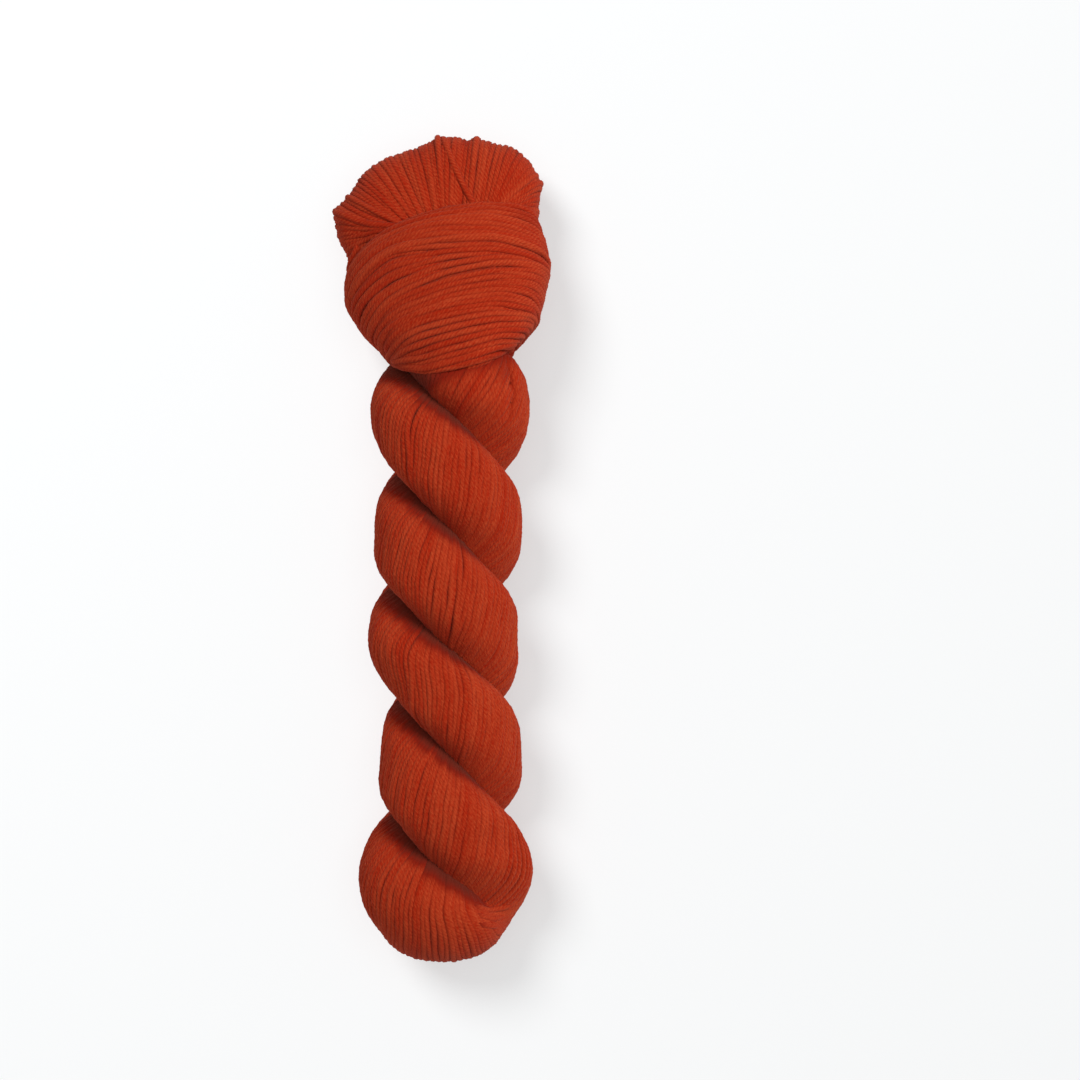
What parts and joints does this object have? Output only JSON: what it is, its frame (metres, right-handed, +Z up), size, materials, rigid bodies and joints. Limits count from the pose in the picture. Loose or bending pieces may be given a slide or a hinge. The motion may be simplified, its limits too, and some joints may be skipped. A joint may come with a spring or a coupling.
{
  "type": "hank of yarn",
  "caption": "Plied wool yarn wound into a loop, twisted on itself like a rope and tucked through, with a broad collar and a fan of loops at one end.",
  "frame": {"origin": "on the surface that the hank lies on, under the middle of its bounding box", "axes": "+Y along the hank from the fold to the fan of loops, +Z up, +X across it"},
  "size_m": [0.0799, 0.2999, 0.05],
  "materials": {
    "yarn": "soft matt plied wool, brick red"
  },
  "bodies": {
    "root": {"hank": "yarn"}
  },
  "joints": []
}
